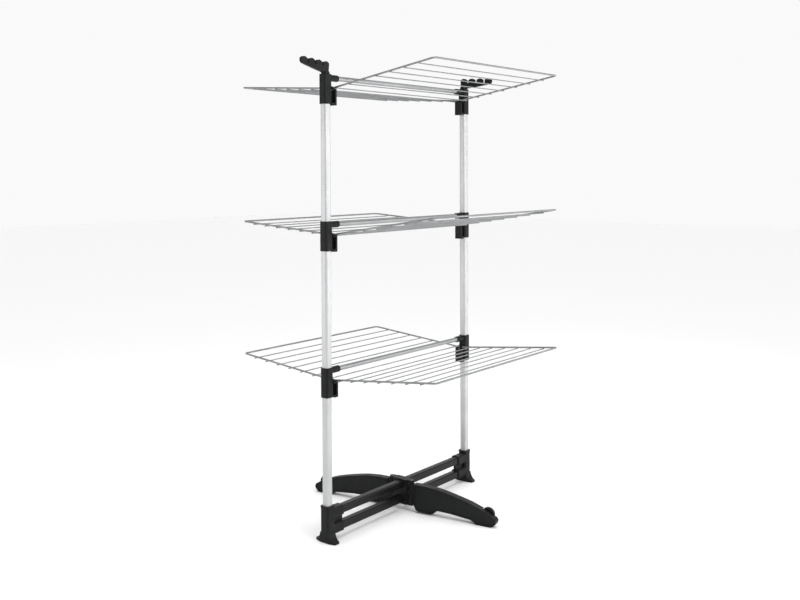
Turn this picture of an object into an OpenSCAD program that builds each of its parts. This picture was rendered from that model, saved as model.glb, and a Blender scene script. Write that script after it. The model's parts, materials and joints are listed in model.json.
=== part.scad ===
// Folding clothes drying rack: three tiers of wire wings on two posts, with a folding wheeled base.
// Origin: on the floor, midway between the posts. X runs from post a (-X) to post b (+X).
// The wings open towards +Y ("pos") and -Y ("neg"). Z is up. Every node is drawn in its assembled place.

/* [Frame] */
// Distance between the two posts' centre lines
post_gap = 640; // [560:5:720]
// Height of the lowest tier bracket's underside above the floor
first_tier = 391.5; // [340:0.5:430]
// Height from one tier to the next
tier_step = 394.5; // [360:0.5:440]
// Width across the flats of the post tubes
tube_w = 21; // [18:0.5:26]
// Outside corner radius of the post tubes
tube_r = 5; // [3:0.1:7]
// Width across the flats of the base rails
rail_w = 22; // [18:0.5:26]
// Outside corner radius of the base rails
rail_r = 4.5; // [3:0.1:7]
// Wall thickness of the square tubes
tube_t = 1; // [0.8:0.1:1.6]
// Diameter of the round crossbars
bar_d = 13.5; // [12:0.5:18]

/* [Tier brackets] */
// Height of a tier bracket
bracket_h = 80; // [70:1:95]
// Width across the flats of a bracket's sleeve
sleeve_w = 26; // [24:0.5:32]
// Corner radius of a bracket's sleeve
sleeve_r = 6; // [4:0.1:8]
// Height of the crossbar's centre line above the bracket's underside
bar_z = 70.5; // [66:0.5:76]
// Outside radius of the crossbar stub
stub_r = 9; // [8:0.1:11]
// Length of the crossbar stub beyond the sleeve
stub_l = 32; // [20:1:40]
// Height of the wing hinges above the bracket's underside
hinge_z = 43.5; // [40:0.5:52]
// Distance of each wing's hinge from the post's mid-plane
hinge_y = 8; // [7:0.25:11]
// Gap between the sleeve and the guard plate
guard_gap = 13; // [10:0.5:16]
// Height of the guard plate's upper edge above the bracket's underside
guard_top = 38.5; // [34:0.5:42]
// Depth of the guard plate below the bracket's underside
guard_drop = 3; // [0:0.5:8]

/* [Wings] */
// Distance from the rack's centre to a wing's side wire
wing_half = 298.6; // [260:0.1:320]
// Distance from the hinge to the wing's outer wire
wing_reach = 346; // [300:1:400]
// Spacing of the cross wires
wire_step = 47.2; // [35:0.1:60]
// Number of cross wires in one wing
wire_count = 7; // [4:1:9]
// Diameter of a wing's frame wire
frame_d = 5; // [4:0.1:6]
// Diameter of a cross wire
wire_d = 3; // [2.5:0.1:4]
// Length of cross wire left proud of the frame wire's centre line
wire_over = 4.2; // [3:0.1:6]
// Bend radius of the frame wire's outer corners
corner_r = 9; // [6:0.5:20]
// Upward slope of each wing as it rests: low, mid and top tier on the +Y side
rise_pos = [4.8, 4, 3.6]; // [0:0.1:15]
// Upward slope of each wing as it rests: low, mid and top tier on the -Y side
rise_neg = [6.5, 9, 9.3]; // [0:0.1:15]

/* [Base] */
// Height of the upper rail's centre line
rail_hi = 75.2; // [70:0.1:85]
// Height of the lower rail's centre line
rail_lo = 31.5; // [28:0.1:40]
// Height of the top of a foot's post socket
foot_h = 98.5; // [85:0.5:110]
// Width across a foot's upright
foot_w = 28.5; // [25:0.5:34]
// Width across a foot's rail sockets
socket_w = 28; // [25:0.5:32]
// Reach of the rail sockets from the post's centre line
foot_reach = 50; // [40:1:60]
// Half of the length of a foot's flared toe
toe_half = 37; // [30:0.5:60]
// Distance of each leg's hinge pin from the mid-plane
leg_pin_y = 36; // [34:0.5:46]
// Angle by which the legs stand round from square to the rails
leg_turn = 10; // [0:1:15]
// Radius of the wheels
wheel_r = 19; // [15:0.5:22]
// Distance from a leg's hinge pin to its wheel's axle
wheel_s = 243; // [230:1:250]
// Height of the wheels' axles above the floor; the legs stand on pads, and the wheels touch when it tips
wheel_z = 31; // [28:0.5:36]

/* [Hanger arms] */
// Length of a hanger arm from its swivel to its tip
arm_l = 99; // [70:1:130]
// Thickness of a hanger arm
arm_t = 8; // [6:0.5:12]
// Spacing of the humps along a hanger arm
hump_step = 28.8; // [24:0.1:36]
// Upward tilt of arm a and of arm b, which ride loosely on their swivels
arm_tilt = [2, -3.5]; // [-5:0.5:5]
// Direction in which arm a and arm b point, as an angle from +X
arm_turn = [183, -83]; // [-180:1:270]

/* [Hidden] */
$fn = 64;
// Gap at fixed joints, and radial clearance of parts that turn
fit = 0.05;
run = 0.06;
px = post_gap / 2;
tiers = [for (i = [0:2]) first_tier + i * tier_step];
// Where a tier bracket's partition stands between the two tubes it joins
part_z = 39;
part_t = 2.5;
// A top bracket's tube socket is deeper, and is closed by the swivel's seat
seat_z = 60;
peg_r = 6;
// Bosses round the wings' pivots
boss_t = 4.5;
boss_r = 4.6;
guard_t = 5.5;
// Feet: sole thickness at the toes, radius of the flanks, and half width of the toes' ends
sole_t = 5.5;
flare_r = 22;
toe_w = 8.2;
toe_cut = 2;
pin_r = 3;
// Hub block, and the knuckles that each leg's hinge is made of
hub_lo = 17;
hub_hi = 91;
hub_x = 12;
hub_y = 25;
lug_r = 8;
knuckle_lo = 41.6;
knuckle_hi = 84;
mid_lo = 60.5;
mid_hi = 65.5;
knuckle_gap = 0.6;
lugs = [
    [hub_lo, knuckle_lo - knuckle_gap, lug_r], [mid_lo, mid_hi, lug_r - 3.4],
    [knuckle_hi + knuckle_gap, hub_hi, lug_r]
];
// Legs: half thickness of the channel, its wall, and how deep its face is sunk behind the rim
leg_t = 10;
leg_wall = 3;
rim_depth = 2.5;
web_t = 2.2;
wheel_t0 = 2.6;
wheel_w = 9;
slot_gap = 1.5;
notch_r = 3.4;
notch_z = 23.4;
leg_face = rim_depth - leg_t - 1;
// Ribs inside a leg: distance from the pin, height of the lower end, length
leg_ribs = [[60, 5.5, 75], [120, 18, 54], [180, 13, 45]];
// Outline of a leg from hinge to tip: distance from the pin, height above the floor
leg_shape = [
    [11, 28], [13, 20], [19, 8], [28, 4.5], [68, 4], [75, 6], [84, 15], [92, 17.5],
    [130, 16.5], [161, 13.5], [194, 10.5], [206, 4.5], [213, 0], [255, 0], [264, 3.5], [271, 11],
    [273, 18.5], [269, 25.5], [254, 34], [236, 42.5], [222, 47.5], [193, 57.5], [150, 67.5],
    [118, 74], [88, 79], [50, 82], [11, 82]
];

// ---- colours ----
silver = [0.78, 0.79, 0.80];
grey = [0.55, 0.56, 0.57];
black = [0.09, 0.10, 0.10];
steel = [0.62, 0.63, 0.65];

// ---- helpers ----
module rounded(w, r) {
    square([w, w - 2 * r], center = true);
    square([w - 2 * r, w], center = true);
    for (a = [-1, 1], b = [-1, 1])
        translate([a * (w / 2 - r), b * (w / 2 - r)])
            circle(r);
}

module tube_shape(w, r) {
    difference() {
        rounded(w, r);
        rounded(w - 2 * tube_t, r - tube_t);
    }
}

// A bar along +X from x0 to x1, with its cross-section given as a child
module along_x(x0, x1) {
    translate([x0, 0, 0])
        rotate([90, 0, 90])
            linear_extrude(x1 - x0)
                children();
}

module rod_x(x0, x1, r) {
    translate([x0, 0, 0])
        rotate([0, 90, 0])
            cylinder(r = r, h = x1 - x0);
}

// Puts a piece drawn at the origin on post a or, turned to face it, on post b
module on_post(side) {
    translate([side * px, 0, 0])
        rotate([0, 0, side < 0 ? 0 : 180])
            children();
}

// Points of a closed outline moved inwards by d
function unit(v) = v / norm(v);
function inset(p, d) = [
    for (i = [0:len(p) - 1])
        let (
            a = p[(i + len(p) - 1) % len(p)],
            b = p[i],
            c = p[(i + 1) % len(p)],
            u = unit(b - a),
            v = unit(c - b),
            n = unit([-u[1] - v[1], u[0] + v[0]])
        )
        b + n * d / (n * [-v[1], v[0]])
];

// ---- posts ----
module post(side, z0, z1) {
    color(silver)
        translate([side * px, 0, z0])
            linear_extrude(z1 - z0)
                tube_shape(tube_w, tube_r);
}

module post_low(side) {
    post(side, 22, tiers[0] + part_z);
}

module post_mid(side) {
    post(side, tiers[0] + part_z + part_t, tiers[1] + part_z);
}

module post_top(side) {
    post(side, tiers[1] + part_z + part_t, tiers[2] + seat_z);
}

module post_low_a() { post_low(-1); }
module post_mid_a() { post_mid(-1); }
module post_top_a() { post_top(-1); }
module post_low_b() { post_low(1); }
module post_mid_b() { post_mid(1); }
module post_top_b() { post_top(1); }

// ---- tier brackets ----
// Moves a piece to a wing's hinge and tips it to the wing's slope; s is +1 or -1
module at_hinge(s, rise) {
    translate([0, s * hinge_y, hinge_z])
        rotate([s * rise, 0, 0])
            children();
}

// Ledge that the frame wire rests on just outboard of its hinge
module ledge(s, rise) {
    x0 = sleeve_w / 2;
    x1 = x0 + guard_gap + 1;
    at_hinge(s, rise)
        translate([x0 - 1, s > 0 ? 2.5 : -7, -frame_d / 2 - fit - 5])
            cube([x1 - x0 + 1, 4.5, 5]);
}

module guard() {
    x0 = sleeve_w / 2;
    x1 = x0 + guard_gap;
    // Plate, the web that carries it, and the floor that closes the gap behind it
    translate([x1, -12, -guard_drop])
        cube([guard_t, 24, guard_top + guard_drop]);
    translate([x0 - 1, -2, 2])
        cube([guard_gap + 2, 4, guard_top - 4]);
    translate([x0 - 1, -12, 0])
        cube([guard_gap + 2, 24, 3.5]);
    translate([x0 + 5, -12, -guard_drop])
        cube([guard_gap - 4, 24, guard_drop + 1]);
}

module hinge_boss() {
    for (s = [-1, 1])
        translate([0, s * hinge_y, hinge_z])
            rod_x(sleeve_w / 2 - 1, sleeve_w / 2 + boss_t, boss_r);
    translate([sleeve_w / 2 - 1, -hinge_y, hinge_z - boss_r])
        cube([boss_t + 1, 2 * hinge_y, 2 * boss_r]);
}

module bracket(side, tier) {
    top = tier == 2;
    // On post b the piece is turned round, so its two wings change sides
    rises = side < 0 ? [rise_pos[tier], rise_neg[tier]] : [rise_neg[tier], rise_pos[tier]];
    color(black)
        translate([0, 0, tiers[tier]])
            on_post(side)
                difference() {
                    union() {
                        linear_extrude(bracket_h)
                            rounded(sleeve_w, sleeve_r);
                        translate([0, 0, bar_z])
                            rod_x(sleeve_w / 2 - 4, sleeve_w / 2 + stub_l, stub_r);
                        hinge_boss();
                        guard();
                        ledge(1, rises[0]);
                        ledge(-1, rises[1]);
                    }
                    translate([0, 0, -1])
                        linear_extrude((top ? seat_z : part_z) + 1)
                            rounded(tube_w + 2 * fit, tube_r + fit);
                    if (!top)
                        translate([0, 0, part_z + part_t])
                            linear_extrude(bracket_h)
                                rounded(tube_w + 2 * fit, tube_r + fit);
                    if (top)
                        translate([0, 0, seat_z - 1])
                            cylinder(r = peg_r + run, h = bracket_h);
                    translate([0, 0, bar_z])
                        rod_x(sleeve_w / 2 + 1.5, sleeve_w / 2 + stub_l + 1, bar_d / 2 + fit);
                    for (s = [-1, 1])
                        translate([0, s * hinge_y, hinge_z])
                            rod_x(tube_w / 2 - 1, sleeve_w / 2 + boss_t + 1, frame_d / 2 + run);
                }
}

module bracket_low_a() { bracket(-1, 0); }
module bracket_mid_a() { bracket(-1, 1); }
module bracket_top_a() { bracket(-1, 2); }
module bracket_low_b() { bracket(1, 0); }
module bracket_mid_b() { bracket(1, 1); }
module bracket_top_b() { bracket(1, 2); }

// ---- crossbars ----
module crossbar(tier) {
    end = px - sleeve_w / 2 - 2;
    color(grey)
        translate([0, 0, tiers[tier] + bar_z])
            difference() {
                rod_x(-end, end, bar_d / 2);
                rod_x(-end - 1, end + 1, bar_d / 2 - 1);
            }
}

module crossbar_low() { crossbar(0); }
module crossbar_mid() { crossbar(1); }
module crossbar_top() { crossbar(2); }

// ---- base: feet, rails and hub ----
// Plan of a foot's toe: as wide as the upright in the middle, narrowing to flat ends
module toe_plan(h) {
    end = toe_half - toe_cut;
    tip = toe_w - toe_cut;
    polygon([
        [h, -17], [h, 17], [toe_w, end], [tip, toe_half], [-tip, toe_half], [-toe_w, end],
        [-h, 17], [-h, -17], [-toe_w, -end], [-tip, -toe_half], [tip, -toe_half], [toe_w, -end]
    ]);
}

// Side view of the toe: a flat sole, and concave flanks that run up into the upright
module toe_profile() {
    polygon([
        [2 - toe_half, 0], [toe_half - 2, 0], [toe_half, 2],
        for (a = [270:-15:180]) [toe_half + flare_r * cos(a), sole_t + flare_r + flare_r * sin(a)],
        for (a = [0:-15:-90]) [-toe_half + flare_r * cos(a), sole_t + flare_r + flare_r * sin(a)],
        [-toe_half, 2]
    ]);
}

module foot(side) {
    h = foot_w / 2;
    color(black)
        on_post(side)
            difference() {
                union() {
                    translate([0, 0, 6])
                        linear_extrude(foot_h - 6)
                            rounded(foot_w, sleeve_r);
                    // Collar round the mouth of the post socket
                    translate([0, 0, foot_h - 6])
                        linear_extrude(6)
                            rounded(foot_w + 2, sleeve_r + 1);
                    for (z = [rail_lo, rail_hi])
                        translate([0, 0, z])
                            along_x(h - 5, foot_reach)
                                rounded(socket_w, sleeve_r);
                    // Web in the recess between the two rail sockets
                    translate([h - 2, -4, rail_lo])
                        cube([foot_reach - h + 0.5, 8, rail_hi - rail_lo]);
                    translate([foot_reach - 1, -4, rail_lo + rail_w / 2 + fit])
                        cube([5, 8, rail_hi - rail_lo - rail_w - 2 * fit]);
                    intersection() {
                        along_x(-h, h)
                            toe_profile();
                        linear_extrude(40)
                            toe_plan(h - 0.5);
                    }
                }
                translate([0, 0, 22])
                    linear_extrude(foot_h)
                        rounded(tube_w + 2 * fit, tube_r + fit);
                for (z = [rail_lo, rail_hi])
                    translate([0, 0, z])
                        along_x(h + 1.5, foot_reach + 1)
                            rounded(rail_w + 2 * fit, rail_r + fit);
                // Recess under the middle, so that the foot stands on its ends
                translate([4 - h, -17, -1])
                    cube([foot_w - 8, 34, 4]);
            }
}

module foot_a() { foot(-1); }
module foot_b() { foot(1); }

module rail(z) {
    end = px - foot_w / 2 - 2;
    color(black)
        translate([0, 0, z])
            along_x(-end, end)
                tube_shape(rail_w, rail_r);
}

module rail_upper() { rail(rail_hi); }
module rail_lower() { rail(rail_lo); }

module hub() {
    color(black)
        difference() {
            union() {
                translate([-hub_x, -hub_y, hub_lo])
                    cube([2 * hub_x, 2 * hub_y, hub_hi - hub_lo]);
                for (s = [-1, 1], z = lugs) {
                    translate([0, s * leg_pin_y, z[0]])
                        cylinder(r = lug_r, h = z[1] - z[0]);
                    translate([-z[2], s > 0 ? hub_y - 2 : -leg_pin_y, z[0]])
                        cube([2 * z[2], leg_pin_y - hub_y + 2, z[1] - z[0]]);
                }
            }
            for (z = [rail_lo, rail_hi])
                translate([0, 0, z])
                    along_x(-hub_x - 1, hub_x + 1)
                        rounded(rail_w + 2 * fit, rail_r + fit);
            for (s = [-1, 1])
                translate([0, s * leg_pin_y, hub_lo - 1])
                    cylinder(r = pin_r + fit, h = hub_hi - hub_lo + 2);
            // Parting groove round the moulding
            for (s = [-1, 1])
                translate([s * hub_x - 0.6, -hub_y + 4, 54])
                    cube([1.2, 2 * hub_y - 8, 1.2]);
        }
}

module leg_pin(s) {
    color(steel)
        translate([0, s * leg_pin_y, hub_lo + 0.5])
            cylinder(r = pin_r, h = hub_hi - hub_lo - 1);
}

module leg_pin_pos() { leg_pin(1); }
module leg_pin_neg() { leg_pin(-1); }

// ---- legs and wheels ----
// Leg frame: x runs from the pin to the tip, y is across it, z is up. The closed face is at y = -leg_t
// on the -Y leg, and the +Y leg is its mirror image, so both closed faces look towards -X.
module leg_place(s) {
    translate([0, s * leg_pin_y, 0])
        rotate([0, 0, s * 90 + leg_turn])
            mirror([0, s > 0 ? 1 : 0, 0])
                children();
}

module leg_slab(y0, y1, shape) {
    translate([0, y1, 0])
        rotate([90, 0, 0])
            linear_extrude(y1 - y0)
                polygon(shape);
}

module rod_y(x, z, y0, y1, r) {
    translate([x, y0, z])
        rotate([-90, 0, 0])
            cylinder(r = r, h = y1 - y0);
}

module leg(s) {
    inner = inset(leg_shape, leg_wall);
    color(black)
        leg_place(s)
            difference() {
                union() {
                    difference() {
                        leg_slab(-leg_t - 1, leg_t, leg_shape);
                        leg_slab(leg_face + web_t, leg_t + 1, inner);
                        leg_slab(-leg_t - 2, leg_face, inner);
                    }
                    // Hinge knuckles and the neck that joins them to the channel
                    for (z = [[knuckle_lo, mid_lo - knuckle_gap], [mid_hi + knuckle_gap, knuckle_hi]])
                        translate([0, 0, z[0]])
                            cylinder(r = lug_r - 0.2, h = z[1] - z[0]);
                    translate([0, -7, knuckle_lo + 2])
                        cube([15, 14, knuckle_hi - knuckle_lo - 6]);
                    // Cross ribs inside the channel
                    for (rib = leg_ribs)
                        translate([rib[0], leg_face + 1, rib[1]])
                            cube([2.5, leg_t - leg_face - 2, rib[2]]);
                    // Boss for the axle
                    rod_y(wheel_s, wheel_z, leg_face + 1, wheel_t0 - 0.7, 7);
                }
                // Room for the wheel, which stands proud of the leg's upper edge
                rod_y(wheel_s, wheel_z, wheel_t0 - 0.7, leg_t + 1, wheel_r + slot_gap);
                // Room for the hub's middle lug
                translate([0, 0, mid_lo - knuckle_gap])
                    cylinder(r = lug_r + 0.8, h = mid_hi - mid_lo + 2 * knuckle_gap);
                translate([0, 0, knuckle_lo - 1])
                    cylinder(r = pin_r + run, h = knuckle_hi - knuckle_lo + 2);
                rod_y(wheel_s, wheel_z, leg_face + 1.2, leg_t + 1, pin_r + fit);
            }
}

module leg_pos() { leg(1); }
module leg_neg() { leg(-1); }

module axle(s) {
    color(steel)
        leg_place(s) {
            rod_y(wheel_s, wheel_z, leg_face + 1.4, wheel_t0 + wheel_w + 1.6, pin_r);
            rod_y(wheel_s, wheel_z, wheel_t0 + wheel_w + 0.3, wheel_t0 + wheel_w + 2.1, 5);
        }
}

module axle_pos() { axle(1); }
module axle_neg() { axle(-1); }

module wheel(s) {
    y0 = wheel_t0;
    y1 = wheel_t0 + wheel_w;
    color(black)
        leg_place(s)
            translate([wheel_s, 0, wheel_z])
                difference() {
                    rod_y(0, 0, y0, y1, wheel_r);
                    // Dished faces, leaving a rim and a hub
                    for (y = [[y0 - 1, y0 + 2.5], [y1 - 2.5, y1 + 1]])
                        difference() {
                            rod_y(0, 0, y[0], y[1], wheel_r - 4.5);
                            rod_y(0, 0, y[0] - 1, y[1] + 1, 7);
                        }
                    rod_y(0, 0, y0 - 1, y1 + 1, pin_r + run);
                }
}

module wheel_pos() { wheel(1); }
module wheel_neg() { wheel(-1); }

// ---- wings ----
// Wing frame: the hinge line is X, and y runs out along the wing
module wing_place(s, tier) {
    translate([0, s * hinge_y, tiers[tier] + hinge_z])
        rotate([s * (s > 0 ? rise_pos[tier] : rise_neg[tier]), 0, 0])
            mirror([0, s > 0 ? 0 : 1, 0])
                children();
}

// Quarter bend of the frame wire, from the -Y direction round to the +X direction
module bend(r) {
    rotate_extrude(angle = 90)
        translate([r, 0])
            circle(frame_d / 2);
}

module rod_along_y(y0, y1, r) {
    translate([0, y0, 0])
        rotate([-90, 0, 0])
            cylinder(r = r, h = y1 - y0);
}

module wing(s, tier) {
    r = frame_d / 2;
    e = 3;
    pin_end = px - tube_w / 2 - 0.3;
    color(grey)
        wing_place(s, tier) {
            for (m = [0, 1])
                mirror([m, 0, 0]) {
                    // Pivot end, tight bend at the hinge, side wire, outer corner
                    rod_x(wing_half + e, pin_end, r);
                    translate([wing_half + e, e, 0])
                        rotate([0, 0, 180])
                            bend(e);
                    translate([wing_half, 0, 0])
                        rod_along_y(e, wing_reach - corner_r, r);
                    translate([wing_half - corner_r, wing_reach - corner_r, 0])
                        bend(corner_r);
                }
            translate([0, wing_reach, 0])
                rod_x(-wing_half + corner_r, wing_half - corner_r, r);
        }
}

module wing_low_pos() { wing(1, 0); }
module wing_mid_pos() { wing(1, 1); }
module wing_top_pos() { wing(1, 2); }
module wing_low_neg() { wing(-1, 0); }
module wing_mid_neg() { wing(-1, 1); }
module wing_top_neg() { wing(-1, 2); }

// Cross wires, welded under the frame wire
module wires(s, tier) {
    over = wing_half + wire_over;
    color(grey)
        wing_place(s, tier)
            for (i = [1:wire_count])
                translate([0, wing_reach - i * wire_step, -(frame_d + wire_d) / 2 + 0.04])
                    rod_x(-over, over, wire_d / 2);
}

module wires_low_pos() { wires(1, 0); }
module wires_mid_pos() { wires(1, 1); }
module wires_top_pos() { wires(1, 2); }
module wires_low_neg() { wires(-1, 0); }
module wires_mid_neg() { wires(-1, 1); }
module wires_top_neg() { wires(-1, 2); }

// ---- hanger arms ----
// Height of an arm's wavy upper edge at distance d from the swivel
function arm_top(d) = 29.5 + 0.03 * d + 4.5 * pow(cos(180 * d / hump_step), 2);

// Side view of an arm, with the swivel at the origin and the arm along +X
module hanger_shape() {
    tip_r = 9.3;
    end = arm_l - tip_r;
    difference() {
        union() {
            polygon([
                [-9, 3], [11, 3], [22, 4.8], [41, 8], [58, 11.2], [80, 15.3], [end, 17.7],
                for (d = [end:-2.4:-10]) [d, arm_top(d)],
                [-10.5, 28]
            ]);
            translate([end, 17.7 + tip_r])
                circle(tip_r);
        }
        // Notches for the hooks
        for (i = [0:2])
            translate([(i + 0.5) * hump_step, 0]) {
                translate([0, notch_z])
                    circle(notch_r);
                translate([-notch_r, notch_z])
                    square([2 * notch_r, 20]);
            }
    }
}

module hanger(side) {
    i = side < 0 ? 0 : 1;
    color(black)
        translate([side * px, 0, tiers[2] + bracket_h])
            rotate([0, 0, arm_turn[i]]) {
                translate([0, 0, -17])
                    cylinder(r = peg_r, h = 24);
                translate([0, 0, 0.3])
                    cylinder(r = 11.5, h = 6);
                rotate([0, -arm_tilt[i], 0])
                    translate([0, arm_t / 2, 0])
                        rotate([90, 0, 0])
                            linear_extrude(arm_t)
                                hanger_shape();
            }
}

module hanger_a() { hanger(-1); }
module hanger_b() { hanger(1); }

post_low_a();
post_mid_a();
post_top_a();
post_low_b();
post_mid_b();
post_top_b();
bracket_low_a();
bracket_mid_a();
bracket_top_a();
bracket_low_b();
bracket_mid_b();
bracket_top_b();
crossbar_low();
crossbar_mid();
crossbar_top();
foot_a();
foot_b();
rail_upper();
rail_lower();
hub();
leg_pin_pos();
leg_pin_neg();
leg_pos();
leg_neg();
axle_pos();
axle_neg();
wheel_pos();
wheel_neg();
wing_low_pos();
wing_mid_pos();
wing_top_pos();
wing_low_neg();
wing_mid_neg();
wing_top_neg();
wires_low_pos();
wires_mid_pos();
wires_top_pos();
wires_low_neg();
wires_mid_neg();
wires_top_neg();
hanger_a();
hanger_b();
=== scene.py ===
import json
import math

import bmesh
import bpy
from mathutils import Matrix, Vector


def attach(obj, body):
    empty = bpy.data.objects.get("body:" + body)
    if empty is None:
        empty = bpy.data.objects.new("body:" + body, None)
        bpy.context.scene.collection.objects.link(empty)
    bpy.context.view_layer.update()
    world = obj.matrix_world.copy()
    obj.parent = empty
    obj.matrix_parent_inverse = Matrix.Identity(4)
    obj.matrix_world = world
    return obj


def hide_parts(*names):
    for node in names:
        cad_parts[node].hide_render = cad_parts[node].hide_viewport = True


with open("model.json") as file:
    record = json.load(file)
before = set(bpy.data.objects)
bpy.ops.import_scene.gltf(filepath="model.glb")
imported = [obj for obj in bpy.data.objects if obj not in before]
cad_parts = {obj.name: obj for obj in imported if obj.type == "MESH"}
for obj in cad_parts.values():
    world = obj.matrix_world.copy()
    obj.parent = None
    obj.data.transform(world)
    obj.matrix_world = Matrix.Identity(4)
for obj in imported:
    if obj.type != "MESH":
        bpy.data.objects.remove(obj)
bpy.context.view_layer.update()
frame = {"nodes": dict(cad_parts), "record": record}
SCENE = bpy.context.scene

# ---------------------------------------------------------------- materials
# How a noise is stretched: evenly, or into streaks along one axis.
EVEN = (1.0, 1.0, 1.0)
ALONG_X = (0.05, 1.0, 1.0)
ALONG_Z = (1.0, 1.0, 0.05)

NOISE_ROUGHNESS = 0.55
EDGE_SAMPLES = 4
RIM_SPAN = (0.03, 0.18)
UPWARD_SPAN = (0.75, 0.98)
BROAD_SPAN = (0.3, 0.7)
METAL_EDGE = 0.0008
PLASTIC_EDGE = 0.0009
# Paler grey painted onto surfaces that face up: painted light from above.
PAINTED_TOP_LIGHT_COLOUR = (0.16, 0.155, 0.15)
RUBBED_PLASTIC = (0.05, 0.052, 0.054)


class Surface:
    """One procedural material: a principled shader with its nodes added by small methods."""

    def __init__(self, name):
        self.mat = bpy.data.materials.new(name)
        self.mat.use_nodes = True
        self.tree = self.mat.node_tree
        self.tree.nodes.clear()
        out = self.node("ShaderNodeOutputMaterial")
        self.bsdf = self.node("ShaderNodeBsdfPrincipled")
        self.link(self.bsdf.outputs[0], out.inputs[0])
        self.place = self.node("ShaderNodeTexCoord").outputs["Object"]

    def node(self, kind):
        return self.tree.nodes.new(kind)

    def link(self, source, target):
        self.tree.links.new(source, target)

    def feed(self, source, socket):
        """Links a node's output to one of the shader's sockets."""
        self.link(source, self.bsdf.inputs[socket])

    def fix(self, socket, value):
        """Sets one of the shader's sockets to a constant."""
        self.bsdf.inputs[socket].default_value = value

    def noise(self, scale, detail, stretch=EVEN):
        mapping = self.node("ShaderNodeMapping")
        mapping.inputs["Scale"].default_value = stretch
        self.link(self.place, mapping.inputs["Vector"])
        node = self.node("ShaderNodeTexNoise")
        node.inputs["Scale"].default_value = scale
        node.inputs["Detail"].default_value = detail
        node.inputs["Roughness"].default_value = NOISE_ROUGHNESS
        self.link(mapping.outputs["Vector"], node.inputs["Vector"])
        return node.outputs["Fac"]

    def ramp(self, fac, span, low=0.0, high=1.0):
        """Maps fac from the span to low and high, which are numbers or colours."""
        node = self.node("ShaderNodeValToRGB")
        for element, place, value in zip(node.color_ramp.elements, span, (low, high)):
            rgb = value if isinstance(value, tuple) else (value, value, value)
            element.position = place
            element.color = (*rgb, 1.0)
        self.link(fac, node.inputs["Fac"])
        return node.outputs["Color"]

    def math(self, kind, first, second):
        node = self.node("ShaderNodeMath")
        node.operation = kind
        for socket, value in zip(node.inputs, (first, second)):
            if isinstance(value, (int, float)):
                socket.default_value = value
            else:
                self.link(value, socket)
        return node.outputs[0]

    def mix(self, fac, first, colour):
        node = self.node("ShaderNodeMix")
        node.data_type = "RGBA"
        self.link(fac, node.inputs["Factor"])
        self.link(first, node.inputs["A"])
        node.inputs["B"].default_value = (*colour, 1.0)
        return node.outputs["Result"]

    def edges(self, radius):
        """A softened normal at sharp edges, and a mask that is 1 along them."""
        bevel = self.node("ShaderNodeBevel")
        bevel.samples = EDGE_SAMPLES
        bevel.inputs["Radius"].default_value = radius
        true = self.node("ShaderNodeNewGeometry").outputs["True Normal"]
        dot = self.node("ShaderNodeVectorMath")
        dot.operation = "DOT_PRODUCT"
        self.link(bevel.outputs["Normal"], dot.inputs[0])
        self.link(true, dot.inputs[1])
        mask = self.ramp(self.math("SUBTRACT", 1.0, dot.outputs["Value"]), RIM_SPAN)
        return bevel.outputs["Normal"], mask

    def upward(self):
        """1 on surfaces that face up, 0 elsewhere."""
        axes = self.node("ShaderNodeSeparateXYZ")
        self.link(self.node("ShaderNodeNewGeometry").outputs["Normal"], axes.inputs[0])
        return self.ramp(axes.outputs["Z"], UPWARD_SPAN)

    def bump(self, height, strength, distance, normal):
        node = self.node("ShaderNodeBump")
        node.inputs["Strength"].default_value = strength
        node.inputs["Distance"].default_value = distance
        self.link(height, node.inputs["Height"])
        self.link(normal, node.inputs["Normal"])
        return node.outputs["Normal"]


def coated_metal(name, dark, light, worn, gloss, metallic, coarse, streak=EVEN, specular=0.5):
    """Coated steel: soft mottling, orange-peel bump, streaks along the tube, rubbed edges.

    gloss is the lowest and highest roughness, and coarse the scale of the mottling."""
    s = Surface(name)
    normal, rim = s.edges(METAL_EDGE)
    colour = s.ramp(s.noise(coarse, 4.0), BROAD_SPAN, dark, light)
    rubbed = s.ramp(s.noise(190, 3.0), (0.45, 0.7))
    rubbed = s.math("MULTIPLY", rubbed, s.math("MULTIPLY", rim, 0.55))
    colour = s.mix(rubbed, colour, worn)
    scuff = s.math("MULTIPLY", s.ramp(s.noise(34, 5.0, streak), (0.66, 0.78)), 0.35)
    s.feed(s.mix(scuff, colour, worn), "Base Color")
    s.feed(s.ramp(s.noise(coarse * 3.1, 4.0, streak), BROAD_SPAN, *gloss), "Roughness")
    peel = s.bump(s.noise(820, 2.0), 0.22, 0.0003, normal)
    s.feed(s.bump(s.noise(260, 2.0, streak), 0.12, 0.0004, peel), "Normal")
    s.fix("Metallic", metallic)
    s.fix("Specular IOR Level", specular)
    return s.mat


def moulded(name, dark, light, gloss, coarse, grain, specular=0.14):
    """Moulded plastic: fine spark grain, uneven gloss, a painted lighter tone on surfaces that
    face up, paler rubbed edges.

    gloss is the lowest and highest roughness; coarse and grain are noise scales."""
    s = Surface(name)
    normal, rim = s.edges(PLASTIC_EDGE)
    colour = s.ramp(s.noise(coarse, 4.0), BROAD_SPAN, dark, light)
    # Painted top light: surfaces that face up are mixed, in patches, toward a paler grey, as if
    # lit from above.
    painted_top_light = s.math("MULTIPLY", s.upward(), s.ramp(s.noise(60, 5.0), (0.4, 0.8), 0.02, 0.16))
    colour = s.mix(painted_top_light, colour, PAINTED_TOP_LIGHT_COLOUR)
    rubbed = s.ramp(s.noise(150, 3.0), (0.4, 0.7), 0.15, 0.9)
    rubbed = s.math("MULTIPLY", rubbed, s.math("MULTIPLY", rim, 0.6))
    s.feed(s.mix(rubbed, colour, RUBBED_PLASTIC), "Base Color")
    s.feed(s.ramp(s.noise(coarse * 2.3, 5.0), (0.3, 0.72), *gloss), "Roughness")
    s.feed(s.bump(s.noise(grain, 2.0), 0.3, 0.00018, normal), "Normal")
    s.fix("Specular IOR Level", specular)
    return s.mat


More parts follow.
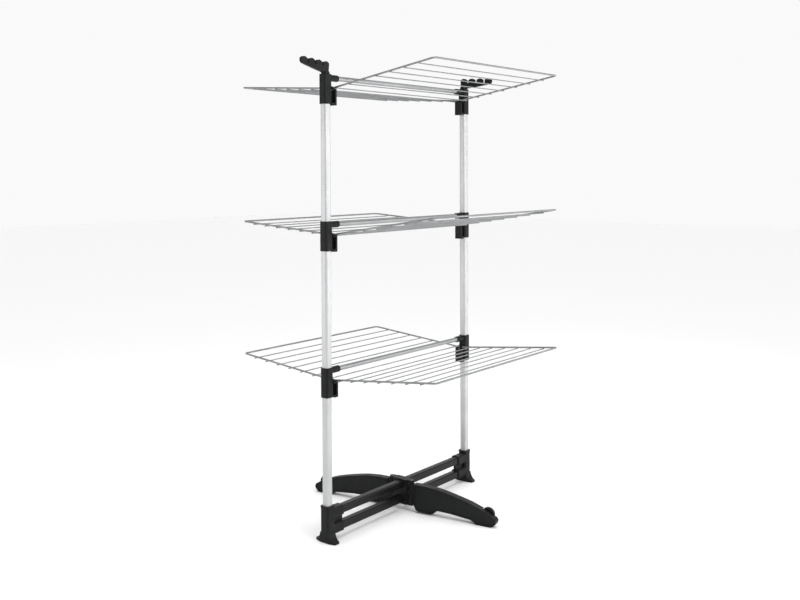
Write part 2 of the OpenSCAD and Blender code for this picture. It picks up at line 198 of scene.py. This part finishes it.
BLACK_LOW, BLACK_HIGH = (0.006, 0.0064, 0.0068), (0.012, 0.0125, 0.013)
MATS = {
    "post": coated_metal(
        "silver_coat", (0.47, 0.475, 0.48), (0.54, 0.545, 0.55), (0.68, 0.68, 0.68),
        gloss=(0.32, 0.42), metallic=0.40, coarse=9, streak=ALONG_Z),
    "crossbar": coated_metal(
        "grey_coat_bar", (0.27, 0.275, 0.28), (0.34, 0.345, 0.35), (0.48, 0.48, 0.48),
        gloss=(0.28, 0.40), metallic=0.60, coarse=12, streak=ALONG_X),
    "wire": coated_metal(
        "grey_coat_wire", (0.20, 0.205, 0.21), (0.27, 0.275, 0.28), (0.42, 0.42, 0.42),
        gloss=(0.30, 0.44), metallic=0.60, coarse=16),
    "rail": coated_metal(
        "black_coat", (0.006, 0.006, 0.0065), (0.011, 0.011, 0.0115), (0.05, 0.05, 0.05),
        gloss=(0.26, 0.38), metallic=0.0, coarse=10, streak=ALONG_X, specular=0.18),
    "pin": coated_metal(
        "bright_steel", (0.52, 0.53, 0.54), (0.62, 0.63, 0.64), (0.72, 0.72, 0.72),
        gloss=(0.20, 0.34), metallic=1.0, coarse=30, streak=ALONG_Z),
    "bracket": moulded(
        "black_moulding", BLACK_LOW, BLACK_HIGH, gloss=(0.38, 0.52), coarse=14, grain=1500),
    "base_plastic": moulded(
        "black_base_moulding", (0.007, 0.0074, 0.0078), (0.013, 0.0136, 0.014),
        gloss=(0.36, 0.52), coarse=12, grain=1350),
    "hanger": moulded(
        "black_arm_moulding", BLACK_LOW, BLACK_HIGH, gloss=(0.38, 0.52), coarse=16, grain=1500),
    "wheel": moulded(
        "black_wheel", (0.010, 0.010, 0.011), (0.018, 0.018, 0.019),
        gloss=(0.34, 0.5), coarse=25, grain=1300),
}

SLOT_OF = {row["node"]: row["material_slot"] for row in frame["record"]["subparts"]}
for name, obj in frame["nodes"].items():
    mat = MATS[SLOT_OF[name]]
    if not obj.material_slots:
        obj.data.materials.append(mat)
    for slot in obj.material_slots:
        slot.material = mat

# ---------------------------------------------------------------- moulded pieces
# The legs, arms and wheels get real rounded edges: the CAD solid's mesh, cleaned, with every
# sharp edge rolled over and the normals weighted by face, so that the flats stay flat.
BODIES = frame["record"]["behaviour"]["bodies"]
BODY_OF = {node: body for body, group in BODIES.items() for node in group}
MERGE = 1e-6
FLAT_ANGLE = math.radians(0.5)
SHARP_ANGLE = math.radians(35)
ROUND_SEGMENTS = 3
FLAT_WEIGHT = 60
EDGE_WIDTHS = {"leg_pos": 0.0009, "leg_neg": 0.0009, "hanger_a": 0.0008, "hanger_b": 0.0008,
               "wheel_pos": 0.0007, "wheel_neg": 0.0007}


def softened(node, width):
    work = bmesh.new()
    work.from_mesh(frame["nodes"][node].data)
    bmesh.ops.remove_doubles(work, verts=work.verts, dist=MERGE)
    bmesh.ops.dissolve_limit(work, angle_limit=FLAT_ANGLE, verts=work.verts, edges=work.edges)
    for face in work.faces:
        face.smooth = True
    raw = bpy.data.meshes.new(node + "_raw")
    work.to_mesh(raw)
    work.free()
    piece = bpy.data.objects.new(node + "_moulded", raw)
    SCENE.collection.objects.link(piece)
    edge = piece.modifiers.new("edge", "BEVEL")
    edge.width = width
    edge.segments = ROUND_SEGMENTS
    edge.limit_method = "ANGLE"
    edge.angle_limit = SHARP_ANGLE
    edge.use_clamp_overlap = True
    even = piece.modifiers.new("even", "WEIGHTED_NORMAL")
    even.weight = FLAT_WEIGHT
    graph = bpy.context.evaluated_depsgraph_get()
    final = bpy.data.meshes.new_from_object(
        piece.evaluated_get(graph), preserve_all_data_layers=True, depsgraph=graph)
    final.name = node + "_moulded"
    piece.modifiers.clear()
    piece.data = final
    bpy.data.meshes.remove(raw)
    final.materials.clear()
    final.materials.append(MATS[SLOT_OF[node]])
    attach(piece, BODY_OF[node])
    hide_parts(node)


for name, width in EDGE_WIDTHS.items():
    softened(name, width)

# ---------------------------------------------------------------- stage
FLOOR_Z = -0.0005
FLOOR_HALF = 14.0
FLOOR_COLOUR = (0.88, 0.88, 0.88, 1.0)
stage = Surface("stage")
stage.fix("Base Color", FLOOR_COLOUR)
stage.fix("Roughness", 0.9)
stage.fix("Specular IOR Level", 0.1)
signs = ((-1, -1), (1, -1), (1, 1), (-1, 1))
mesh = bpy.data.meshes.new("stage_floor")
mesh.from_pydata([(x * FLOOR_HALF, y * FLOOR_HALF, FLOOR_Z) for x, y in signs], [], [(0, 1, 2, 3)])
mesh.materials.append(stage.mat)
floor = bpy.data.objects.new("stage_floor", mesh)
SCENE.collection.objects.link(floor)

# ---------------------------------------------------------------- room
# A white sweep all round. The object itself is lit by a dimmer room with a bright far wall.
BACKDROP = 0.95
ROOM = 0.22
FAR_WALL = 0.85
FAR_SIDE = (0.776, 0.631, 0.0)
FAR_SPAN = (0.55, 0.92)
world = bpy.data.worlds.new("studio")
world.use_nodes = True
nodes, links = world.node_tree.nodes, world.node_tree.links
toward = nodes.new("ShaderNodeVectorMath")
toward.operation = "DOT_PRODUCT"
toward.inputs[1].default_value = FAR_SIDE
links.new(nodes.new("ShaderNodeTexCoord").outputs["Generated"], toward.inputs[0])
room = nodes.new("ShaderNodeMapRange")
room.interpolation_type = "SMOOTHSTEP"
room.inputs["From Min"].default_value, room.inputs["From Max"].default_value = FAR_SPAN
room.inputs["To Min"].default_value = ROOM
room.inputs["To Max"].default_value = FAR_WALL
links.new(toward.outputs["Value"], room.inputs["Value"])
level = nodes.new("ShaderNodeMapRange")
level.inputs["To Max"].default_value = BACKDROP
links.new(room.outputs[0], level.inputs["To Min"])
links.new(nodes.new("ShaderNodeLightPath").outputs["Is Camera Ray"], level.inputs["Value"])
links.new(level.outputs[0], nodes["Background"].inputs["Strength"])
nodes["Background"].inputs["Color"].default_value = (1.0, 1.0, 1.0, 1.0)
SCENE.world = world
SCENE.view_settings.view_transform = "Standard"


# ---------------------------------------------------------------- lights
def aim(obj, place, target):
    obj.location = place
    obj.rotation_euler = (Vector(target) - Vector(place)).to_track_quat("-Z", "Y").to_euler()
    SCENE.collection.objects.link(obj)


def softbox(name, place, target, wide, tall, power):
    data = bpy.data.lights.new(name, "AREA")
    data.shape = "RECTANGLE"
    data.size = wide
    data.size_y = tall
    data.energy = power
    aim(bpy.data.objects.new(name, data), place, target)


def overhead(name, strength, spread):
    data = bpy.data.lights.new(name, "SUN")
    data.energy = strength
    data.angle = math.radians(spread)
    aim(bpy.data.objects.new(name, data), (0, 0, 4), (0, 0, 0))


CHEST = (0, 0, 0.9)
overhead("ceiling", strength=2.5, spread=60)
softbox("key", (-0.5, -2.4, 1.7), (0, 0, 1.0), wide=1.8, tall=1.4, power=36)
softbox("side", (1.6, -1.7, 1.0), CHEST, wide=1.3, tall=1.9, power=19)
softbox("fill", (-1.9, 1.5, 1.0), CHEST, wide=1.2, tall=1.9, power=12)
softbox("front", (-2.9, -2.35, 1.4), CHEST, wide=2.0, tall=1.8, power=12)

# ---------------------------------------------------------------- camera
EYE = Vector((-2.1313, -1.7304, 1.0027))
YAW, PITCH, ROLL = (math.radians(angle) for angle in (-50.86, -1.18, -0.20))
flat = Vector((-math.sin(YAW), math.cos(YAW), 0.0))
up = Vector((0.0, 0.0, 1.0))
ahead = flat * math.cos(PITCH) + up * math.sin(PITCH)
head = up * math.cos(PITCH) - flat * math.sin(PITCH)
right = ahead.cross(head)
cam_x = right * math.cos(ROLL) + head * math.sin(ROLL)
cam_y = head * math.cos(ROLL) - right * math.sin(ROLL)
turn = Matrix((cam_x, cam_y, -ahead)).transposed().to_4x4()
cam_data = bpy.data.cameras.new("camera")
cam_data.sensor_fit = "HORIZONTAL"
cam_data.sensor_width = 36.0
cam_data.lens = 41.9
cam_data.shift_y = -0.1384
cam_data.clip_end = 60.0
camera = bpy.data.objects.new("camera", cam_data)
camera.matrix_world = Matrix.Translation(EYE) @ turn
SCENE.collection.objects.link(camera)
bpy.context.scene.camera = camera
